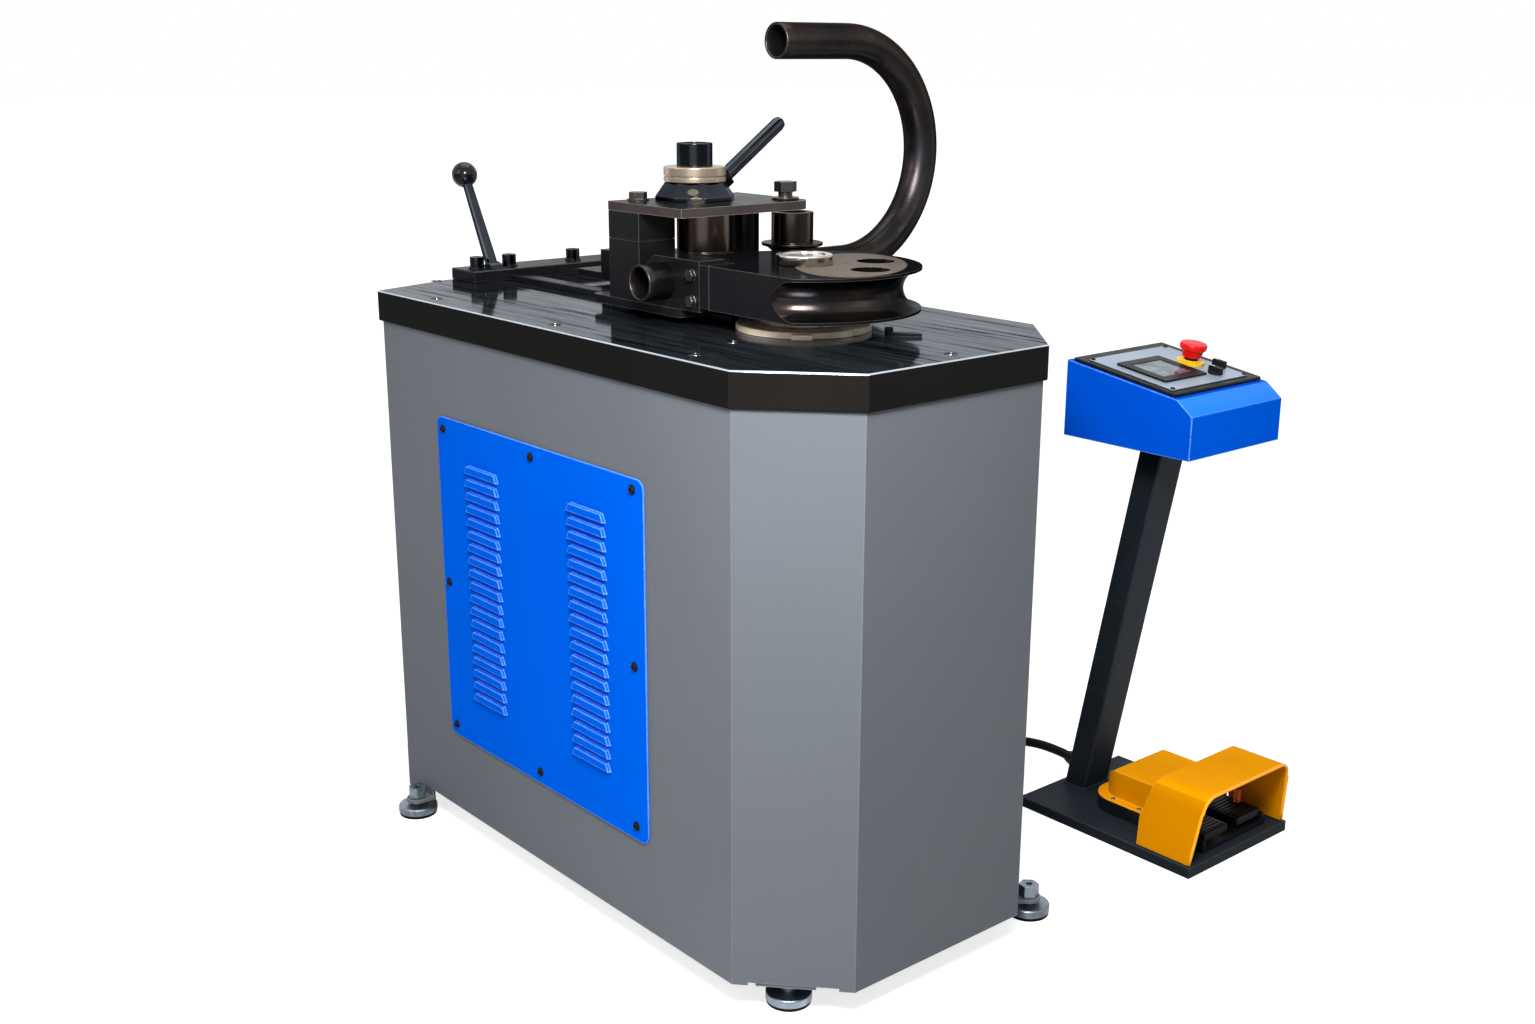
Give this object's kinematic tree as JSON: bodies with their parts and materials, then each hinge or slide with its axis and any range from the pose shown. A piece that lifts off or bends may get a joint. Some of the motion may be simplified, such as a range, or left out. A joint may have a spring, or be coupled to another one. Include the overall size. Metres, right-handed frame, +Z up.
{
  "type": "motorised tube bender",
  "caption": "Rotary tube bender: steel cabinet, grooved bending former, sliding carriage with counter rollers, cam lever, bent sample tube, and a control post with a guarded foot switch.",
  "frame": {"origin": "on the floor, under the middle of the whole object without its cable", "axes": "+X to the machine's right, towards the control post; +Y to the rear of the cabinet; +Z up"},
  "size_m": [1.029, 1.093, 1.2032],
  "materials": {
    "cabinet_paint": "mid grey powder coat, fine grain",
    "table_steel": "ground and oiled steel, dark edge",
    "blue_paint": "bright blue powder coat",
    "blackened_steel": "blackened, oiled tool steel",
    "warm_steel": "turned steel with a warm temper tint",
    "chrome": "polished chrome",
    "zinc_steel": "zinc plated",
    "rubber": "matt black rubber",
    "mill_tube": "dark mill scale",
    "post_paint": "charcoal powder coat",
    "amber_paint": "amber enamel",
    "black_plastic": "moulded black",
    "red_plastic": "gloss red",
    "yellow_plastic": "yellow collar",
    "panel_plate": "satin silver sheet",
    "screen": "dark touch screen in a black frame",
    "cast_iron": "cast and machined",
    "motor_paint": "dark blue enamel",
    "spring_steel": "orange coated spring wire"
  },
  "bodies": {
    "machine": {"table_plate": "table_steel", "cabinet_shell": "cabinet_paint", "louvre_panel": "blue_paint", "foot_pad_1": "rubber", "foot_pad_2": "rubber", "foot_pad_3": "rubber", "foot_pad_4": "rubber", "levelling_foot_1": "zinc_steel", "levelling_foot_2": "zinc_steel", "levelling_foot_3": "zinc_steel", "levelling_foot_4": "zinc_steel", "bearing_housing": "cast_iron", "gear_reducer": "cast_iron", "drive_motor": "motor_paint", "lower_ring": "warm_steel", "angle_stop": "blackened_steel", "sample_tube": "mill_tube", "rear_crossbar": "blackened_steel", "left_guide_rail": "blackened_steel", "right_guide_rail": "blackened_steel", "floor_plate": "post_paint", "control_post": "post_paint", "console_box": "blue_paint", "panel_bezel": "black_plastic", "face_plate": "panel_plate", "touch_screen": "screen", "stop_ring": "yellow_plastic", "switch_base": "black_plastic", "switch_cover": "amber_paint", "pedal_guard": "amber_paint", "cabinet_gland": "black_plastic", "post_gland": "black_plastic", "control_cable": "rubber"},
    "former": {"main_shaft": "zinc_steel", "bull_gear": "cast_iron", "upper_ring": "warm_steel", "bending_former": "blackened_steel", "former_cap": "chrome", "hook_block": "blackened_steel", "clamp_wedge": "blackened_steel"},
    "pinion": {"drive_pinion": "zinc_steel"},
    "carriage": {"carriage_base": "blackened_steel", "yoke_pillar_lower": "blackened_steel", "yoke_pillar_upper": "blackened_steel", "yoke_top_plate": "blackened_steel", "jack_bolt": "chrome"},
    "cam": {"cam_shaft": "zinc_steel", "cam_hub": "blackened_steel", "lock_ring": "warm_steel", "shaft_bush": "blackened_steel"},
    "first_roller": {"counter_roller_1": "blackened_steel"},
    "second_roller": {"counter_roller_2": "blackened_steel"},
    "lock_lever": {"ball_lever": "blackened_steel", "lever_ball": "black_plastic"},
    "left_pedal": {"pedal_left": "black_plastic"},
    "right_pedal": {"pedal_right": "black_plastic", "pedal_spring": "spring_steel"},
    "stop": {"stop_button": "red_plastic"},
    "first_selector": {"selector_knob_1": "black_plastic"},
    "second_selector": {"selector_knob_2": "black_plastic"}
  },
  "joints": [
    {"name": "former_turn", "type": "hinge", "parent": "machine", "child": "former", "pos_m": [-0.2125, -0.21754, 0.85], "axis": [0, 0, 1], "range_deg": [0, 185], "deforming": ["sample_tube"]},
    {"name": "pinion_turn", "type": "hinge", "parent": "machine", "child": "pinion", "pos_m": [-0.2125, -0.03754, 0.6], "axis": [0, 0, 1], "range_deg": [-740, 0]},
    {"name": "carriage_slide", "type": "slide", "parent": "machine", "child": "carriage", "axis": [0, 1, 0], "range_m": [0, 0.06]},
    {"name": "cam_turn", "type": "hinge", "parent": "carriage", "child": "cam", "pos_m": [-0.2165, 0.00364, 0.97], "axis": [0, 0, 1], "range_deg": [0, 90]},
    {"name": "first_roller_spin", "type": "hinge", "parent": "cam", "child": "first_roller", "pos_m": [-0.2165, -0.01736, 0.9], "axis": [0, 0, 1], "continuous": true},
    {"name": "second_roller_spin", "type": "hinge", "parent": "carriage", "child": "second_roller", "pos_m": [-0.0575, -0.01736, 0.9], "axis": [0, 0, 1], "continuous": true},
    {"name": "lock_lever_tilt", "type": "hinge", "parent": "machine", "child": "lock_lever", "pos_m": [-0.2675, 0.45096, 0.8333], "axis": [1, 0, 0], "range_deg": [0, 55]},
    {"name": "left_pedal_press", "type": "hinge", "parent": "machine", "child": "left_pedal", "pos_m": [0.3555, -0.44744, 0.0413], "axis": [1, 0, 0], "range_deg": [0, 6], "stiffness_Nm_per_rad": 4, "springref_deg": -8.59},
    {"name": "right_pedal_press", "type": "hinge", "parent": "machine", "child": "right_pedal", "pos_m": [0.4395, -0.44744, 0.0413], "axis": [1, 0, 0], "range_deg": [0, 6], "stiffness_Nm_per_rad": 4, "springref_deg": -8.59},
    {"name": "stop_press", "type": "slide", "parent": "machine", "child": "stop", "axis": [0, 0.1498, -0.9887], "range_m": [0, 0.004], "stiffness_N_per_m": 900, "springref_m": -0.003},
    {"name": "first_selector_turn", "type": "hinge", "parent": "machine", "child": "first_selector", "pos_m": [0.4275, -0.40591, 0.70461], "axis": [0, -0.1498, 0.9887], "range_deg": [0, 90]},
    {"name": "second_selector_turn", "type": "hinge", "parent": "machine", "child": "second_selector", "pos_m": [0.4635, -0.38712, 0.70746], "axis": [0, -0.1498, 0.9887], "range_deg": [0, 90]}
  ],
  "couplings": [
    {"joint": "pinion_turn", "follows": "former_turn", "ratio": -4}
  ]
}
